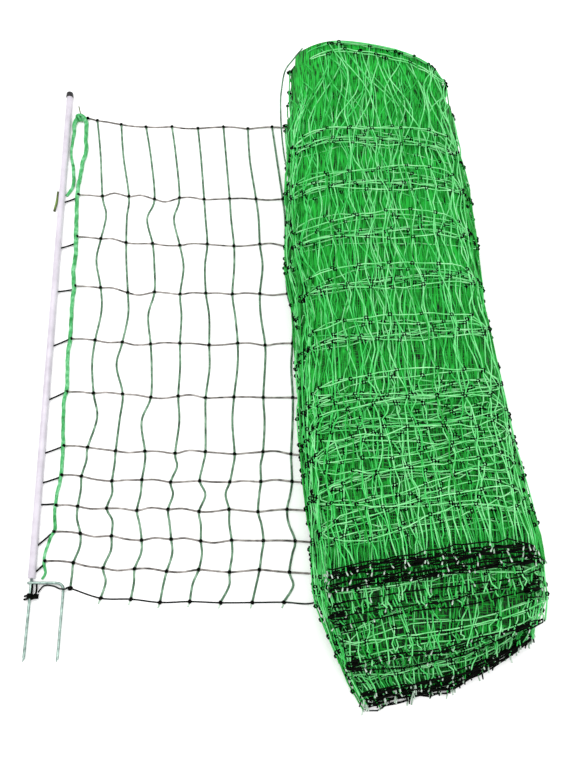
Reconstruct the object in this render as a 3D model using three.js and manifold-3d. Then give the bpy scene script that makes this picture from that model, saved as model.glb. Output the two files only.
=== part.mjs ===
// Folded poultry netting: the pack of folded plies, the last ply laid out flat beside it, and its end post.
// Millimetres. The part lies on its back on z = 0: +X runs from the post to the pack, +Y from the net's
// foot to its top line, +Z up. Places are measured from the middle of the loose ply's bottom line, and the
// finished group is moved so that its origin is the middle of the footprint on the floor.
import * as THREE from "three";
import { mergeVertices } from "three/addons/utils/BufferGeometryUtils.js";
import Module from "manifold-3d";

const { clamp, lerp, degToRad } = THREE.MathUtils;

// Driving sizes
const SEAT = 0.4; // gap left between pieces that touch
const NET_HEIGHT = 1107; // bottom line to top row
const STRAND = 2; // twisted polyethylene strand
const KNOT = { reach: 3.2, height: 5 };
const BOTTOM_LINE = { thick: 3, reach: 3.8, height: 5.5, stub: 6 };
const COLUMNS = 8; // upright strands on the loose ply
const SCATTER = 2.5; // how far a knot strays from its place
const POST = { foot: [-504, 46], top: [-527, 1190], radius: 7.5, sides: 20 };
const CAP = { radius: 8.4, length: 13, round: 3 };
const SPIKE = { radius: 2.75, prongEnd: -100, tip: 12, barY: 37, barLeft: -511, farProng: -440, bend: 16 };
const TIE_RADIUS = 2;
const PACK = { height: 214, layers: 12, sheet: 10.5, crown: 0.24, ridge: 3.5 };

// The rows of knots on the loose ply, from the top line down: height above the bottom line, where the first
// and last knots lie, and how far the row climbs at the rope.
const ROWS = [
  { height: NET_HEIGHT, first: -457, last: -39, rise: 21 },
  { height: 911, first: -430, last: -16, rise: 10 },
  { height: 790, first: -425, last: -7, rise: 17 },
  { height: 668, first: -417, last: -5, rise: 13 },
  { height: 547, first: -419, last: 9, rise: 10 },
  { height: 425, first: -414, last: 6, rise: 12 },
  { height: 303, first: -416, last: 6, rise: 12 },
  { height: 242, first: -425, last: 4, rise: 9 },
  { height: 182, first: -426, last: -2, rise: 9 },
  { height: 121, first: -418, last: 10, rise: 17 },
  { height: 61, first: -425, last: 3, rise: 16 },
  { height: 0, first: -429, last: -12, rise: 25 },
];
const BOTTOM = ROWS.length - 1;

// The pack's outline on the floor, from foot to top: its left and right sides.
const OUTLINE = [
  { y: -200, left: 118, right: 440 },
  { y: -100, left: 86, right: 470 },
  { y: 0, left: 50, right: 480 },
  { y: 100, left: 42, right: 473 },
  { y: 300, left: 23, right: 437 },
  { y: 500, left: 17, right: 413 },
  { y: 600, left: 11, right: 403 },
  { y: 700, left: -6, right: 400 },
  { y: 850, left: -7, right: 391 },
  { y: 1000, left: -5, right: 372 },
  { y: 1200, left: -4, right: 352 },
];

// The pack's four bundles of plies, from the floor up: how many folded layers each has, and where its foot
// and its top lie on the pack's centre line. The lower bundles have slid towards the foot.
const BUNDLES = [
  { layers: 3, foot: -168, top: 1000 },
  { layers: 3, foot: -96, top: 1062 },
  { layers: 3, foot: -14, top: 1122 },
  { layers: 3, foot: 44, top: 1184 },
];

// The rope down the net's edge, from the post, up, over its top knot and down to the spike.
const ROPE_ROUTE = [
  { x: -512, y: 918, radius: 3.2 },
  { x: -507, y: 926, radius: 3.6 },
  { x: -499, y: 946, radius: 4 },
  { x: -500, y: 970, radius: 4 },
  { x: -504, y: 1000, radius: 3.8 },
  { x: -511, y: 1030, radius: 3.2 },
  { x: -511, y: 1060, radius: 3.4 },
  { x: -509, y: 1090, radius: 4.2 },
  { x: -510, y: 1112, radius: 5 },
  { x: -506, y: 1128, radius: 6 },
  { x: -496, y: 1134, radius: 7 },
  { x: -486, y: 1129, radius: 6 },
  { x: -481, y: 1110, radius: 5 },
  { x: -480, y: 1075, radius: 5 },
  { x: -476, y: 1040, radius: 5 },
  { x: -482, y: 1008, radius: 5 },
  { x: -484, y: 975, radius: 4.8 },
  { x: -487, y: 944, radius: 4.6 },
  { x: -487, y: 905, radius: 4.8 },
  { x: -484, y: 857, radius: 4.8 },
  { x: -481, y: 806, radius: 5.2 },
  { x: -478, y: 764, radius: 4.8 },
  { x: -480, y: 726, radius: 4.8 },
  { x: -475, y: 680, radius: 5 },
  { x: -476, y: 645, radius: 4.6 },
  { x: -473, y: 560, radius: 4.8 },
  { x: -475, y: 520, radius: 4.4 },
  { x: -470, y: 445, radius: 4.6 },
  { x: -474, y: 418, radius: 4.2 },
  { x: -470, y: 350, radius: 4 },
  { x: -467, y: 316, radius: 4.2 },
  { x: -466, y: 253, radius: 4 },
  { x: -471, y: 212, radius: 3.5 },
  { x: -472, y: 175, radius: 3.4 },
  { x: -468, y: 147, radius: 3.8 },
  { x: -475, y: 128, radius: 3.2 },
  { x: -483, y: 98, radius: 3 },
  { x: -484, y: 76, radius: 3.4 },
  { x: -479, y: 58, radius: 2.8 },
  { x: -485, y: 45, radius: 2.6 },
];
const ROPE_TOP = 14; // the route's points after this one run down the net's edge
const ROPE = { sides: 8, steps: 96, lobe: 0.1, lay: 170 };

// The short ties from the post to the rope: the net row that each is knotted at, and where its ends lie.
const TIES = [
  { row: 2, postY: 899, ropeY: 911 },
  { row: 3, postY: 780, ropeY: 792 },
  { row: 4, postY: 671, ropeY: 677 },
  { row: 5, postY: 541, ropeY: 557 },
  { row: 6, postY: 418, ropeY: 435 },
  { row: 7, postY: 301, ropeY: 315 },
  { row: 8, postY: 238, ropeY: 250 },
  { row: 9, postY: 193, ropeY: 195 },
  { row: 10, postY: 110, ropeY: 134 },
  { row: 11, postY: 58, ropeY: 72 },
];

const COLOURS = {
  net: { color: 0x2fae4e, roughness: 0.55, metalness: 0 },
  strand: { color: 0x7f9f86, roughness: 0.55, metalness: 0 },
  black: { color: 0x1c1c1a, roughness: 0.6, metalness: 0 },
  rope: { color: 0x4cb86e, roughness: 0.6, metalness: 0 },
  tail: { color: 0x4a5a2c, roughness: 0.7, metalness: 0 },
  post: { color: 0xefeaf2, roughness: 0.35, metalness: 0 },
  steel: { color: 0x9fb5ae, roughness: 0.4, metalness: 0.9 },
};

const wasm = await Module();
wasm.setup();

const part = new THREE.Group();

function addPiece(name, geometry, colour) {
  const piece = new THREE.Mesh(geometry, new THREE.MeshStandardMaterial(COLOURS[colour]));
  piece.name = name;
  part.add(piece);
}

// Joining solids

function solidOf(geometry) {
  const bare = geometry.clone();
  bare.deleteAttribute("normal");
  bare.deleteAttribute("uv");
  const merged = mergeVertices(bare, 1e-3);
  return new wasm.Manifold(
    new wasm.Mesh({
      numProp: 3,
      vertProperties: merged.attributes.position.array,
      triVerts: new Uint32Array(merged.index.array),
    }),
  );
}

function joined(geometries) {
  const mesh = geometries.map(solidOf).reduce((whole, next) => whole.add(next)).getMesh();
  const geometry = new THREE.BufferGeometry();
  geometry.setAttribute("position", new THREE.BufferAttribute(mesh.vertProperties, 3));
  geometry.setIndex(new THREE.BufferAttribute(mesh.triVerts, 1));
  return geometry;
}

// A closed skin built ring by ring. A ring is a list of corner numbers, in the same order on every ring.
class Skin {
  points = [];
  faces = [];

  corner(point) {
    this.points.push(point.x, point.y, point.z);
    return this.points.length / 3 - 1;
  }

  quad(a, b, c, d) {
    this.faces.push(a, b, c, a, c, d);
  }

  bridge(from, to) {
    from.forEach((corner, i) => {
      const next = (i + 1) % from.length;
      this.quad(corner, from[next], to[next], to[i]);
    });
  }

  geometry() {
    const geometry = new THREE.BufferGeometry();
    geometry.setAttribute("position", new THREE.Float32BufferAttribute(this.points, 3));
    geometry.setIndex(this.faces);
    return geometry;
  }
}

// Tubes

function circle(radius, sides) {
  const points = Array.from({ length: sides }, (_, i) => {
    const turn = (2 * Math.PI * i) / sides;
    return new THREE.Vector2(radius * Math.cos(turn), radius * Math.sin(turn));
  });
  return new THREE.Shape(points);
}

function tube(path, radius, sides, steps) {
  return new THREE.ExtrudeGeometry(circle(radius, sides), { steps, extrudePath: path, bevelEnabled: false });
}

function straight(from, to) {
  return new THREE.LineCurve3(from, to);
}

// A rod that turns about the line from one point to another, given its profile as [radius, distance] pairs.
function turned(profile, from, to, sides) {
  const outline = profile.map(([radius, along]) => new THREE.Vector2(radius, along));
  const geometry = new THREE.LatheGeometry(outline, sides);
  const direction = to.clone().sub(from).normalize();
  geometry.applyQuaternion(new THREE.Quaternion().setFromUnitVectors(new THREE.Vector3(0, 1, 0), direction));
  return geometry.translate(from.x, from.y, from.z);
}

// The folded pack
// A place in the pack is given by across (-1 at its left side, 1 at its right), up (0 on the floor, 1 at the
// top) and along (0 at the foot, 1 at the top line).

function outlineAt(y) {
  const next = Math.min(Math.max(OUTLINE.findIndex((row) => row.y > y), 1), OUTLINE.length - 1);
  const [low, high] = [OUTLINE[next - 1], OUTLINE[next]];
  const share = (y - low.y) / (high.y - low.y);
  return { left: lerp(low.left, high.left, share), right: lerp(low.right, high.right, share) };
}

function bundleEnds(up) {
  const layer = Math.min(Math.max(up * PACK.layers - 0.5, 0), PACK.layers - 1);
  let first = 0;
  for (const [i, bundle] of BUNDLES.entries()) {
    const last = first + bundle.layers - 1;
    if (layer <= last || i === BUNDLES.length - 1) return bundle;
    if (layer < last + 1) {
      const share = layer - last;
      const above = BUNDLES[i + 1];
      return { foot: lerp(bundle.foot, above.foot, share), top: lerp(bundle.top, above.top, share) };
    }
    first = last + 1;
  }
}

const FOOT_SKEW = 27; // the foot lies nearer at the left side than at the right
const FOOT_ROUND = 75; // how far the floor bundle's foot draws back at its right side
const TOP_ROUND = 55; // how far the top line falls away towards both sides
const SIDE_SWAY = 6;

function widthAt(up) {
  return up < 0.35 ? lerp(0.965, 1, up / 0.35) : 1 - 0.17 * ((up - 0.35) / 0.65) ** 2;
}

function placeInPack(across, up, along, ridge) {
  const ends = bundleEnds(up);
  const rightSide = Math.max(across - 0.1, 0);
  const foot = ends.foot + FOOT_SKEW * across + FOOT_ROUND * (1 - up) ** 2 * rightSide ** 1.5;
  const top = ends.top - TOP_ROUND * Math.abs(across + 0.3) ** 1.6;
  const y = lerp(foot, top, along);
  const { left, right } = outlineAt(y);
  const swell = 1 + (ridge * PACK.ridge) / (0.5 * (right - left));
  const sway = SIDE_SWAY * Math.sin(0.009 * y + 17 * up) * Math.abs(across);
  const x = (left + right) / 2 + 0.5 * (right - left) * across * widthAt(up) * swell + sway;
  const fall = 1 - PACK.crown * Math.abs(across) ** 3.5 * (0.25 + 0.75 * up);
  const wave = 1 + 0.012 * Math.sin(0.021 * x + 0.013 * y);
  return new THREE.Vector3(x, y, up * fall * wave * (PACK.height + ridge * PACK.ridge));
}

// The folded section, as a loop of [across, up] pairs: the layers' middle line runs back and forth, and the
// loop follows it at half a sheet's thickness on one side and comes back on the other.
const LAYER_PITCH = (PACK.height - PACK.sheet) / (PACK.layers - 1);
const MEAN_HALF_WIDTH = 200;
const LAYER_KNEES = [-0.62, -0.25, 0.15, 0.55]; // where a layer's line has a point between its folds

function foldedSection() {
  const half = PACK.sheet / 2;
  const bend = LAYER_PITCH / 2;
  const reach = MEAN_HALF_WIDTH - bend - half;
  const going = [];
  const coming = [];
  const lay = (x, z, nx, nz) => {
    going.push([x - nx * half, z - nz * half]);
    coming.unshift([x + nx * half, z + nz * half]);
  };
  for (let layer = 0; layer < PACK.layers; layer++) {
    const z = half + layer * LAYER_PITCH;
    const side = layer % 2 ? -1 : 1; // the side that this layer runs towards
    const outer = layer === 0 || layer === PACK.layers - 1;
    if (layer === 0) lay(-MEAN_HALF_WIDTH, z, 0, side);
    const knees = outer ? LAYER_KNEES : [0];
    knees.forEach((knee) => lay(side * knee * MEAN_HALF_WIDTH, z, 0, side));
    if (layer === PACK.layers - 1) {
      lay(side * MEAN_HALF_WIDTH, z, 0, side);
      continue;
    }
    for (const degrees of [-90, -40, 0, 40, 90]) {
      const angle = degToRad(degrees);
      const [out, rise] = [Math.cos(angle), Math.sin(angle)];
      lay(side * (reach + bend * out), z + bend + bend * rise, -out, -rise * side);
    }
  }
  return [...going, ...coming].map(([x, z]) => [x / MEAN_HALF_WIDTH, z / PACK.height]);
}

// Stations along the pack: one on each row of knots, where the sides swell, and one between rows.
function packStations() {
  const rows = ROWS.map((row) => row.height / NET_HEIGHT).reverse();
  const stations = [];
  rows.forEach((along, i) => {
    stations.push({ along, ridge: 1 });
    const wide = i + 1 < rows.length && rows[i + 1] - along > 0.08;
    if (wide) stations.push({ along: (along + rows[i + 1]) / 2, ridge: 0 });
  });
  return stations;
}

function foldedNet() {
  const section = foldedSection();
  const skin = new Skin();
  const rings = packStations().map(({ along, ridge }) =>
    section.map(([across, up]) => skin.corner(placeInPack(across, up, along, ridge))),
  );
  for (let i = 0; i + 1 < rings.length; i++) skin.bridge(rings[i + 1], rings[i]);
  const flat = section.map(([across, up]) => new THREE.Vector2(across * MEAN_HALF_WIDTH, up * PACK.height));
  for (const [a, b, c] of THREE.ShapeUtils.triangulateShape(flat, [])) {
    const foot = rings[0];
    const top = rings[rings.length - 1];
    skin.faces.push(foot[a], foot[b], foot[c], top[a], top[c], top[b]);
  }
  return skin.geometry();
}

// Where the floor layer's free edge lies, at the pack's left side, as far up as a strand is thick.
const FREE_EDGE = packStations().map(({ along, ridge }) => {
  const low = placeInPack(-1, 0, along, ridge);
  const high = placeInPack(-1, PACK.sheet / PACK.height, along, ridge);
  const atStrand = low.clone().lerp(high, BOTTOM_LINE.thick / PACK.sheet);
  return { x: Math.min(low.x, atStrand.x), y: low.y };
});

function freeEdgeAt(y) {
  const next = Math.min(Math.max(FREE_EDGE.findIndex((place) => place.y > y), 1), FREE_EDGE.length - 1);
  const [low, high] = [FREE_EDGE[next - 1], FREE_EDGE[next]];
  return lerp(low.x, high.x, clamp((y - low.y) / (high.y - low.y), 0, 1));
}

// The edge rope

const ropeCurve = new THREE.CatmullRomCurve3(
  ROPE_ROUTE.map(({ x, y }) => new THREE.Vector3(x, y, 0)),
  false,
  "centripetal",
);
const ROPE_LINE = Array.from({ length: ROPE.steps + 1 }, (_, i) => {
  const share = (i / ROPE.steps) * (ROPE_ROUTE.length - 1);
  const before = Math.min(Math.floor(share), ROPE_ROUTE.length - 2);
  const radius = lerp(ROPE_ROUTE[before].radius, ROPE_ROUTE[before + 1].radius, share - before);
  return { place: ropeCurve.getPoint(i / ROPE.steps), radius };
});

function edgeRope() {
  const skin = new Skin();
  let laid = 0;
  const rings = ROPE_LINE.map(({ place, radius }, i) => {
    const before = ROPE_LINE[Math.max(i - 1, 0)].place;
    const after = ROPE_LINE[Math.min(i + 1, ROPE.steps)].place;
    laid += place.distanceTo(before);
    const ahead = after.clone().sub(before).normalize();
    const beside = new THREE.Vector3(-ahead.y, ahead.x, 0);
    const twist = (2 * Math.PI * laid) / ROPE.lay;
    return Array.from({ length: ROPE.sides }, (_, k) => {
      const turn = (2 * Math.PI * k) / ROPE.sides;
      const reach = radius * (1 + ROPE.lobe * Math.cos(2 * (turn - twist)));
      const corner = place.clone().addScaledVector(beside, reach * Math.cos(turn));
      corner.z = radius * (1 + ROPE.lobe) + reach * Math.sin(turn);
      return skin.corner(corner);
    });
  });
  for (let i = 0; i < ROPE.steps; i++) skin.bridge(rings[i], rings[i + 1]);
  for (let k = 1; k + 1 < ROPE.sides; k++) {
    const [start, end] = [rings[0], rings[ROPE.steps]];
    skin.faces.push(start[0], start[k + 1], start[k], end[0], end[k], end[k + 1]);
  }
  return skin.geometry();
}

const EDGE_LINE = ROPE_LINE.filter((_, i) => (i / ROPE.steps) * (ROPE_ROUTE.length - 1) >= ROPE_TOP - 2);

// The rope's side at a distance along the net: side is 1 for the side towards the net, -1 for the post's.
// It is read over the width of what ends there, and the farthest of these is kept.
const END_WIDTH = 8;

function ropeSideAt(y, side) {
  const sides = [-0.5, 0, 0.5].map((share) => {
    const height = y + share * END_WIDTH;
    const next = Math.max(EDGE_LINE.findIndex((sample) => sample.place.y < height), 1);
    const [high, low] = [EDGE_LINE[next - 1], EDGE_LINE[next]];
    const along = (high.place.y - height) / (high.place.y - low.place.y);
    const radius = lerp(high.radius, low.radius, along) * (1 + ROPE.lobe);
    return lerp(high.place.x, low.place.x, along) + side * (radius + SEAT);
  });
  return side > 0 ? Math.max(...sides) : Math.min(...sides);
}

// The loose ply
// A knot is an eight-cornered boss with a flat port on each of its four sides. Strands run from port to port.

const PORTS = { east: [1, 0], north: [0, 1], west: [-1, 0], south: [0, -1] };

function knotAt(row, column) {
  const { height, first, last, rise } = ROWS[row];
  const along = column / (COLUMNS - 1);
  const climb = rise * Math.exp(-0.85 * column);
  const x = lerp(first, last, along) + SCATTER * Math.sin(3.1 * row + 5.3 * column);
  return new THREE.Vector3(x, height + climb + SCATTER * Math.sin(4.7 * row + 2.9 * column), 0);
}

// Four corners of a strand's cross-section, seen along its way: right and left below, left and right above.
function strandRing(skin, place, way, thick) {
  const left = new THREE.Vector3(-way.y, way.x, 0).normalize().multiplyScalar(thick / 2);
  const top = new THREE.Vector3(0, 0, thick);
  return [
    skin.corner(place.clone().sub(left)),
    skin.corner(place.clone().add(left)),
    skin.corner(place.clone().add(left).add(top)),
    skin.corner(place.clone().sub(left).add(top)),
  ];
}

function addKnot(skin, place, thick, { reach, height }) {
  const ports = {};
  for (const [name, [x, y]] of Object.entries(PORTS)) {
    const way = new THREE.Vector3(x, y, 0);
    ports[name] = { ring: strandRing(skin, place.clone().addScaledVector(way, reach), way, thick), way };
  }
  const low = Object.values(ports).flatMap(({ ring }) => [ring[0], ring[1]]);
  const high = Object.values(ports).flatMap(({ ring }) => [ring[3], ring[2]]);
  const crest = skin.corner(place.clone().setZ(height));
  high.forEach((corner, i) => skin.faces.push(crest, corner, high[(i + 1) % high.length]));
  for (let i = 1; i + 1 < low.length; i++) skin.faces.push(low[0], low[i + 1], low[i]);
  for (let i = 1; i < low.length; i += 2) {
    const next = (i + 1) % low.length;
    skin.quad(low[i], low[next], high[next], high[i]);
  }
  return ports;
}

// Runs a strand from a port through the places given. It ends at another port, or in the open.
function addStrand(skin, port, places, thick, into) {
  let ring = port.ring;
  port.used = true;
  places.forEach((place, i) => {
    const ahead = places[i + 1] ?? place;
    const behind = i ? places[i - 1] : place;
    const way = ahead.clone().sub(behind);
    const next = strandRing(skin, place, way.lengthSq() ? way : port.way, thick);
    skin.bridge(ring, next);
    ring = next;
  });
  if (into) {
    into.used = true;
    const [a, b, c, d] = into.ring;
    skin.bridge(ring, [b, a, d, c]);
  } else {
    skin.quad(...ring);
  }
}

function closePorts(skin, knots) {
  for (const ports of knots) {
    for (const port of Object.values(ports)) if (!port.used) skin.quad(...port.ring);
  }
}

const BULGE = 0.075; // how far a slack upright bows, as a share of its length
const SAG = 2.5; // how far a row's strand dips between knots

function looseNet() {
  const skin = new Skin();
  const ports = ROWS.slice(0, BOTTOM).map((_, row) =>
    Array.from({ length: COLUMNS }, (_, column) => addKnot(skin, knotAt(row, column), STRAND, KNOT)),
  );
  for (let row = 0; row < BOTTOM; row++) {
    for (let column = 0; column < COLUMNS; column++) {
      const knot = knotAt(row, column);
      const below = knotAt(row + 1, column);
      const bow = BULGE * (knot.y - below.y) * Math.sin(2.3 * row + 4.1 * column);
      const middle = knot.clone().lerp(below, 0.5);
      middle.x = Math.min(middle.x + bow, freeEdgeAt(middle.y) - 2 * STRAND);
      if (row + 1 < BOTTOM) {
        addStrand(skin, ports[row][column].south, [middle], STRAND, ports[row + 1][column].north);
      } else {
        const end = below.clone().setY(below.y + BOTTOM_LINE.reach + SEAT);
        addStrand(skin, ports[row][column].south, [end], STRAND);
      }
      if (column + 1 < COLUMNS) {
        const beside = knotAt(row, column + 1);
        const dip = SAG * Math.sin(1.7 * row + 2.6 * column);
        const halfway = knot.clone().lerp(beside, 0.5);
        halfway.y += dip;
        addStrand(skin, ports[row][column].east, [halfway], STRAND, ports[row][column + 1].west);
      }
    }
    const first = knotAt(row, 0);
    const join = first.y + 0.2 * ROWS[row].rise;
    const ropeEnd = new THREE.Vector3(ropeSideAt(join, 1), join, 0);
    addStrand(skin, ports[row][0].west, [first.clone().lerp(ropeEnd, 0.5), ropeEnd], STRAND);
    const last = knotAt(row, COLUMNS - 1);
    const packEnd = new THREE.Vector3(freeEdgeAt(last.y) - SEAT, last.y, 0);
    addStrand(skin, ports[row][COLUMNS - 1].east, [packEnd], STRAND);
  }
  closePorts(skin, ports.flat());
  return skin.geometry();
}

// The black bottom line: it leaves the foot knot, runs beside the spike's bar, hops over the outer prong and
// then runs along the foot of the net, with the uprights' short tails below its knots.
const BAR_SIDE = SPIKE.barY - SPIKE.radius - SEAT - BOTTOM_LINE.thick / 2;
const OVER_ROD = POST.radius + SPIKE.radius + SEAT;
const LINE_START = [
  { x: -434.6, y: 25, z: OVER_ROD },
  { x: -444.6, y: 25, z: OVER_ROD },
  { x: -448.5, y: 26.5, z: 5 },
  { x: -462, y: BAR_SIDE - 0.6, z: 5 },
  { x: -479, y: BAR_SIDE - 0.6, z: 5 },
  { x: -489.2, y: 19, z: 6 },
];

function bottomLine() {
  const skin = new Skin();
  const { thick, stub } = BOTTOM_LINE;
  const ports = Array.from({ length: COLUMNS }, (_, column) =>
    addKnot(skin, knotAt(BOTTOM, column), thick, BOTTOM_LINE),
  );
  for (let column = 0; column < COLUMNS; column++) {
    const knot = knotAt(BOTTOM, column);
    const tail = knot.clone().add(new THREE.Vector3(-1.5, -BOTTOM_LINE.reach - stub, 0));
    if (column) addStrand(skin, ports[column].south, [tail], thick);
    if (column + 1 === COLUMNS) {
      const packEnd = new THREE.Vector3(freeEdgeAt(knot.y) - SEAT, knot.y, 0);
      addStrand(skin, ports[column].east, [packEnd], thick);
      continue;
    }
    const halfway = knot.clone().lerp(knotAt(BOTTOM, column + 1), 0.5);
    addStrand(skin, ports[column].east, [halfway], thick, ports[column + 1].west);
  }
  const route = LINE_START.map(({ x, y, z }) => new THREE.Vector3(x, y, z));
  addStrand(skin, ports[0].west, route, thick);
  closePorts(skin, ports);
  return skin.geometry();
}

// The end post, its cap and its double spike

function postX(y) {
  return lerp(POST.foot[0], POST.top[0], (y - POST.foot[1]) / (POST.top[1] - POST.foot[1]));
}

const POST_FOOT = new THREE.Vector3(...POST.foot, POST.radius);
const POST_TOP = new THREE.Vector3(...POST.top, POST.radius);

function postShaft() {
  const length = POST_FOOT.distanceTo(POST_TOP);
  const profile = [
    [0, 0],
    [POST.radius, 0],
    [POST.radius, length],
    [0, length],
  ];
  return turned(profile, POST_FOOT, POST_TOP, POST.sides);
}

function postCap() {
  const { radius, length, round } = CAP;
  const bottom = POST_TOP.clone().setZ(radius);
  const far = bottom.clone().add(POST_TOP).sub(POST_FOOT);
  bottom.y += SEAT;
  const profile = [
    [0, 0],
    [radius, 0],
    [radius, length - round],
    [radius - round * 0.3, length - round * 0.3],
    [radius - round, length],
    [0, length],
  ];
  return turned(profile, bottom, far, POST.sides);
}

function doubleSpike() {
  const { radius, prongEnd, tip, barY, barLeft, farProng, bend } = SPIKE;
  const sides = 10;
  const z = POST.radius;
  const down = new THREE.Vector3(0, -1, 0);
  const pinX = POST.foot[0];
  const prong = [
    [0, 0],
    [radius, 0],
    [radius, POST.foot[1] - SEAT - prongEnd],
    [0, POST.foot[1] - SEAT - prongEnd + tip],
  ];
  const pinTop = new THREE.Vector3(pinX, POST.foot[1] - SEAT, z);
  const pin = turned(prong, pinTop, pinTop.clone().add(down), sides);
  const bar = new THREE.CurvePath();
  const corner = new THREE.Vector3(farProng, barY, z);
  const intoBend = corner.clone().setX(farProng - bend);
  const outOfBend = corner.clone().setY(barY - bend);
  bar.add(straight(new THREE.Vector3(barLeft, barY, z), intoBend));
  bar.add(new THREE.QuadraticBezierCurve3(intoBend, corner, outOfBend));
  bar.add(straight(outOfBend, outOfBend.clone().setY(prongEnd)));
  const tipProfile = [
    [0, -1],
    [radius * 0.98, -1],
    [radius * 0.98, 0],
    [0, tip],
  ];
  const farTip = turned(tipProfile, outOfBend.clone().setY(prongEnd), outOfBend.clone().setY(prongEnd - 1), sides);
  return joined([pin, tube(bar, radius, sides, 36), farTip]);
}

// The knot that holds the bottom line to the inner prong: two turns round the prong, a lump where they
// are tied, two cut ends to the left and a strand up to the bar.
function footKnot() {
  const cord = 1.7;
  const ring = SPIKE.radius + SEAT + cord;
  const prong = new THREE.Vector3(POST.foot[0], 0, POST.radius);
  const turns = [7.5, 13].map((y) => {
    const turn = new THREE.TorusGeometry(ring, cord, 6, 12);
    return turn.rotateX(Math.PI / 2).translate(prong.x, y, prong.z);
  });
  const lump = new THREE.IcosahedronGeometry(1, 1).scale(5.5, 7.5, 5).translate(prong.x + 10, 11, 6.8);
  const ends = [7.5, 13].map((y) => {
    const start = new THREE.Vector3(prong.x - ring + 0.5, y, prong.z);
    return tube(straight(start, new THREE.Vector3(start.x - 8, y - 1.5, 4)), cord, 8, 1);
  });
  const barPlace = new THREE.Vector3(prong.x + 11, SPIKE.barY - SPIKE.radius - SEAT - cord, 7);
  const strand = tube(straight(new THREE.Vector3(prong.x + 11, 14, 7), barPlace), cord, 8, 1);
  return joined([...turns, lump, ...ends, strand]);
}

// Ties and tails

function tie({ postY, ropeY }) {
  const from = new THREE.Vector3(postX(postY) + POST.radius + SEAT, postY, POST.radius - 1);
  const to = new THREE.Vector3(ropeSideAt(ropeY, -1), ropeY, 4.5);
  const corner = (TIE_RADIUS * (ropeY - postY)) / from.distanceTo(to); // a slanted end's corner stands out
  from.x += corner;
  to.x -= corner;
  return tube(straight(from, to), TIE_RADIUS, 8, 2);
}

function ropeTail() {
  const radius = 2.8;
  const side = postX(914) - POST.radius;
  const route = [
    new THREE.Vector3(side - 3.2, 928, radius + 3),
    new THREE.Vector3(side - 3.6, 914, radius + 0.8),
    new THREE.Vector3(side - 5, 900, radius + 0.2),
    new THREE.Vector3(side - 8, 878, radius),
  ];
  return tube(new THREE.CatmullRomCurve3(route), radius, 8, 8);
}

function topTwine() {
  const radius = 1.2;
  const route = [
    new THREE.Vector3(-496.5, 1141.2, 7.5),
    new THREE.Vector3(-500, 1152, 4),
    new THREE.Vector3(-505, 1170, radius),
  ];
  return tube(new THREE.CatmullRomCurve3(route), radius, 8, 6);
}

addPiece("folded_net", foldedNet(), "net");
addPiece("loose_net", looseNet(), "strand");
addPiece("bottom_line", bottomLine(), "black");
addPiece("edge_rope", edgeRope(), "rope");
addPiece("rope_tail", ropeTail(), "tail");
addPiece("top_twine", topTwine(), "tail");
addPiece("post_shaft", postShaft(), "post");
addPiece("post_cap", postCap(), "black");
addPiece("double_spike", doubleSpike(), "steel");
addPiece("foot_knot", footKnot(), "black");
for (const place of TIES) {
  addPiece(`tie_row_${String(place.row).padStart(2, "0")}`, tie(place), "black");
}

const footprint = new THREE.Box3().setFromObject(part);
const middle = footprint.getCenter(new THREE.Vector3());
part.position.set(-middle.x, -middle.y, -footprint.min.z);

export default part;
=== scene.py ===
import math
import random

import bmesh
import bpy
import numpy as np
from mathutils import Matrix, Vector, geometry, noise


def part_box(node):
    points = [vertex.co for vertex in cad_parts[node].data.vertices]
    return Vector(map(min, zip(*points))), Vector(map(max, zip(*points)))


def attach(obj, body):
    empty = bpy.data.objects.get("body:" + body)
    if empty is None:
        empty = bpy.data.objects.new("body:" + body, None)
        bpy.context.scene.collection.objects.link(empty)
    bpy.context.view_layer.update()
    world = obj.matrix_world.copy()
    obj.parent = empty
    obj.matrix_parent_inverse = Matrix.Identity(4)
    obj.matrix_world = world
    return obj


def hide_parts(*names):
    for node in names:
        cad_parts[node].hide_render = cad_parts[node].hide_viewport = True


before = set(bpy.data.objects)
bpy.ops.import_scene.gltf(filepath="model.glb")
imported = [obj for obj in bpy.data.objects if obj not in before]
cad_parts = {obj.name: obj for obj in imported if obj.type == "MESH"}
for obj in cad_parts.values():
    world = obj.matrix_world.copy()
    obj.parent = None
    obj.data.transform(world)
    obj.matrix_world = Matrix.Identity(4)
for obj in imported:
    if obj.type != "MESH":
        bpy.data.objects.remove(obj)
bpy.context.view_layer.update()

MM = 0.001
SPIKE_CORNER = Vector((-511, -112, 0)) * MM  # the spike's lowest corner, where the part's source has it
FRAME_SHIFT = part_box("double_spike")[0] - SPIKE_CORNER
FRAME_SHIFT.z = 0
chance = random.Random(7)  # makes every random draw, so each run gives the same net


def at(x, y, z=0.0):
    """The place in the frame of a point in the part's millimetres."""
    return Vector((x, y, z)) * MM + FRAME_SHIFT


def lerp(a, b, share):
    return a + (b - a) * share


def clamp(value, low, high):
    return min(max(value, low), high)


def smooth_step(share):
    share = clamp(share, 0, 1)
    return share * share * (3 - 2 * share)


def read_table(table, key, value):
    """The value column of a table at a place along its first column, on straight lines between rows."""
    rows = [row for row in table if row[0] > key]
    after = clamp(table.index(rows[0]) if rows else len(table), 1, len(table) - 1)
    low, high = table[after - 1], table[after]
    return lerp(low[value], high[value], (key - low[0]) / (high[0] - low[0]))


# Camera: over the net's foot, looking down 69 degrees

IMAGE_HEIGHT = 768
FOCAL_LENGTH_PX = 914
CAMERA_PLACE = at(0, -237, 1815)
CAMERA_TILT = math.radians(20.9)


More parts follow.
